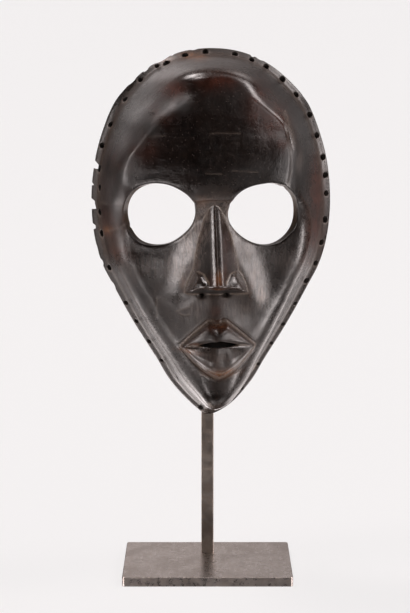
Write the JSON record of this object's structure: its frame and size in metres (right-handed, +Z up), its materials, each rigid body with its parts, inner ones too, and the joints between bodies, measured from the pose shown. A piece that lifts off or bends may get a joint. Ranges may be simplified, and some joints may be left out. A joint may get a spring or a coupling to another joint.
{
  "type": "carved dan face mask on display stand",
  "caption": "Carved dark wooden face mask, oval with a pointed chin, round open eyes and parted lips, held upright on a square steel post with a flat rectangular foot.",
  "frame": {"origin": "middle of the base plate's underside", "axes": "the mask looks along -Y, +X is to the viewer's right, +Z is up along the post"},
  "size_m": [0.1522, 0.0983, 0.3357],
  "materials": {
    "dark_wood": "polished dark patina with worn brown edges",
    "post_steel": "brown patinated steel, satin",
    "plate_steel": "brown patinated steel, satin"
  },
  "bodies": {
    "root": {"mask": "dark_wood", "stand_post": "post_steel", "base_plate": "plate_steel"}
  },
  "joints": []
}
